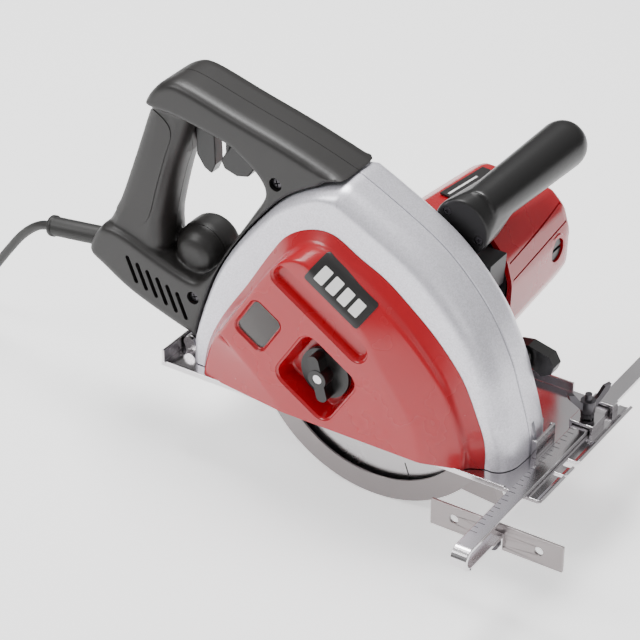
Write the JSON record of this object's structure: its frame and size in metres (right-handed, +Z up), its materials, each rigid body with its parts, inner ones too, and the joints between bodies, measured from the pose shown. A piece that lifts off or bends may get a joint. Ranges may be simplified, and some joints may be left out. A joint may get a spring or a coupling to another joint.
{
  "type": "circular saw",
  "caption": "Hand-held circular saw with a red chip cover, silver blade guard, D-handle, side bar handle, plated base and sliding rip fence.",
  "frame": {"origin": "on the sole of the base plate, straight under the blade axis, in the middle plane of the blade", "axes": "+X the cutting direction, +Y from the blade towards the motor, +Z up from the sole"},
  "size_m": [0.878, 0.3239, 0.2842],
  "materials": {
    "red_shell": "satin",
    "silver_paint": "fine metallic",
    "handle_grey": "fine grain",
    "black_plastic": "moulded",
    "soft_grip": "soft",
    "bright_steel": "bright plated",
    "dark_steel": "plain",
    "cast_case": "cast",
    "copper": "plain",
    "clear_window": "smoked",
    "label": "printed",
    "cord_rubber": "satin"
  },
  "bodies": {
    "machine": {"guard_near": "silver_paint", "guard_far": "silver_paint", "gear_case": "cast_case", "bearing_plate": "cast_case", "motor_housing": "red_shell", "stator": "dark_steel", "brush_gear": "copper", "brush_caps": "black_plastic", "handle_near": "handle_grey", "handle_far": "handle_grey", "grip_pads": "soft_grip", "handle_screws": "dark_steel", "switch_block": "black_plastic", "bar_handle": "black_plastic", "bar_foot": "handle_grey", "bar_screws": "dark_steel", "rating_plate": "label", "guard_spring": "dark_steel", "cord_sleeve": "cord_rubber", "cord": "cord_rubber", "cord_coil": "cord_rubber", "plug_body": "cord_rubber", "plug_pins": "bright_steel", "bearings": "bright_steel"},
    "inner_guard": {"lower_guard": "bright_steel"},
    "spindle_group": {"spindle": "bright_steel", "blade": "bright_steel", "inner_flange": "dark_steel", "outer_flange": "dark_steel", "blade_bolt": "dark_steel", "output_gear": "dark_steel"},
    "mid_group": {"mid_shaft": "bright_steel", "mid_gear": "dark_steel"},
    "rotor_group": {"armature": "bright_steel", "commutator": "copper", "fan": "black_plastic"},
    "cover_group": {"chip_cover": "red_shell", "cover_window": "clear_window", "cover_badge": "label"},
    "knob_group": {"cover_knob": "black_plastic", "knob_screw": "bright_steel"},
    "trigger_body": {"trigger": "black_plastic"},
    "catch_body": {"lock_off": "black_plastic"},
    "base_group": {"base_plate": "bright_steel", "pivot_pin": "bright_steel", "front_bracket": "bright_steel", "depth_arm": "bright_steel", "bar_bridges": "bright_steel", "bridge_spring": "dark_steel", "depth_bolt": "dark_steel"},
    "lever_body": {"depth_lever": "black_plastic"},
    "fence_group": {"fence_bar": "bright_steel", "fence_plate": "bright_steel", "fence_screw": "dark_steel"},
    "wing_body": {"wing_screw": "dark_steel"}
  },
  "joints": [
    {"name": "guard_swing", "type": "hinge", "parent": "machine", "child": "inner_guard", "pos_m": [0, 0, 0.03], "axis": [0, 1, 0], "range_deg": [0, 110], "stiffness_Nm_per_rad": 0.12, "springref_deg": -20.05},
    {"name": "spindle_turn", "type": "hinge", "parent": "machine", "child": "spindle_group", "pos_m": [0, 0, 0.03], "axis": [0, 1, 0], "continuous": true},
    {"name": "mid_turn", "type": "hinge", "parent": "machine", "child": "mid_group", "pos_m": [0.01253, 0, 0.05814], "axis": [0, 1, 0], "continuous": true},
    {"name": "rotor_turn", "type": "hinge", "parent": "machine", "child": "rotor_group", "pos_m": [0.02229, 0, 0.08006], "axis": [0, 1, 0], "continuous": true},
    {"name": "cover_lift", "type": "slide", "parent": "machine", "child": "cover_group", "axis": [0, -1, 0], "range_m": [0, 0.06]},
    {"name": "knob_turn", "type": "hinge", "parent": "cover_group", "child": "knob_group", "pos_m": [-0.021, -0.03, 0.04], "axis": [0, 1, 0], "range_deg": [0, 90]},
    {"name": "trigger_pull", "type": "hinge", "parent": "machine", "child": "trigger_body", "pos_m": [-0.113, 0.004, 0.182], "axis": [0, 1, 0], "range_deg": [0, 8], "stiffness_Nm_per_rad": 0.5, "springref_deg": -20.05},
    {"name": "catch_press", "type": "hinge", "parent": "machine", "child": "catch_body", "pos_m": [-0.14, 0.004, 0.182], "axis": [0, 1, 0], "range_deg": [0, 8], "stiffness_Nm_per_rad": 0.3, "springref_deg": -20.05},
    {"name": "depth_swing", "type": "hinge", "parent": "machine", "child": "base_group", "pos_m": [-0.147, 0, 0.01], "axis": [0, 1, 0], "range_deg": [0, 10]},
    {"name": "lever_turn", "type": "hinge", "parent": "base_group", "child": "lever_body", "pos_m": [0.09, 0.04, 0.057], "axis": [0, 1, 0], "range_deg": [-60, 0]},
    {"name": "fence_slide", "type": "slide", "parent": "base_group", "child": "fence_group", "axis": [0, -1, 0], "range_m": [-0.02, 0.06]},
    {"name": "wing_turn", "type": "hinge", "parent": "base_group", "child": "wing_body", "pos_m": [0.1325, 0.057, 0.012], "axis": [0, 0, 1], "continuous": true}
  ],
  "couplings": [
    {"joint": "mid_turn", "follows": "spindle_turn", "ratio": -2.1429},
    {"joint": "rotor_turn", "follows": "spindle_turn", "ratio": 6.4286}
  ]
}
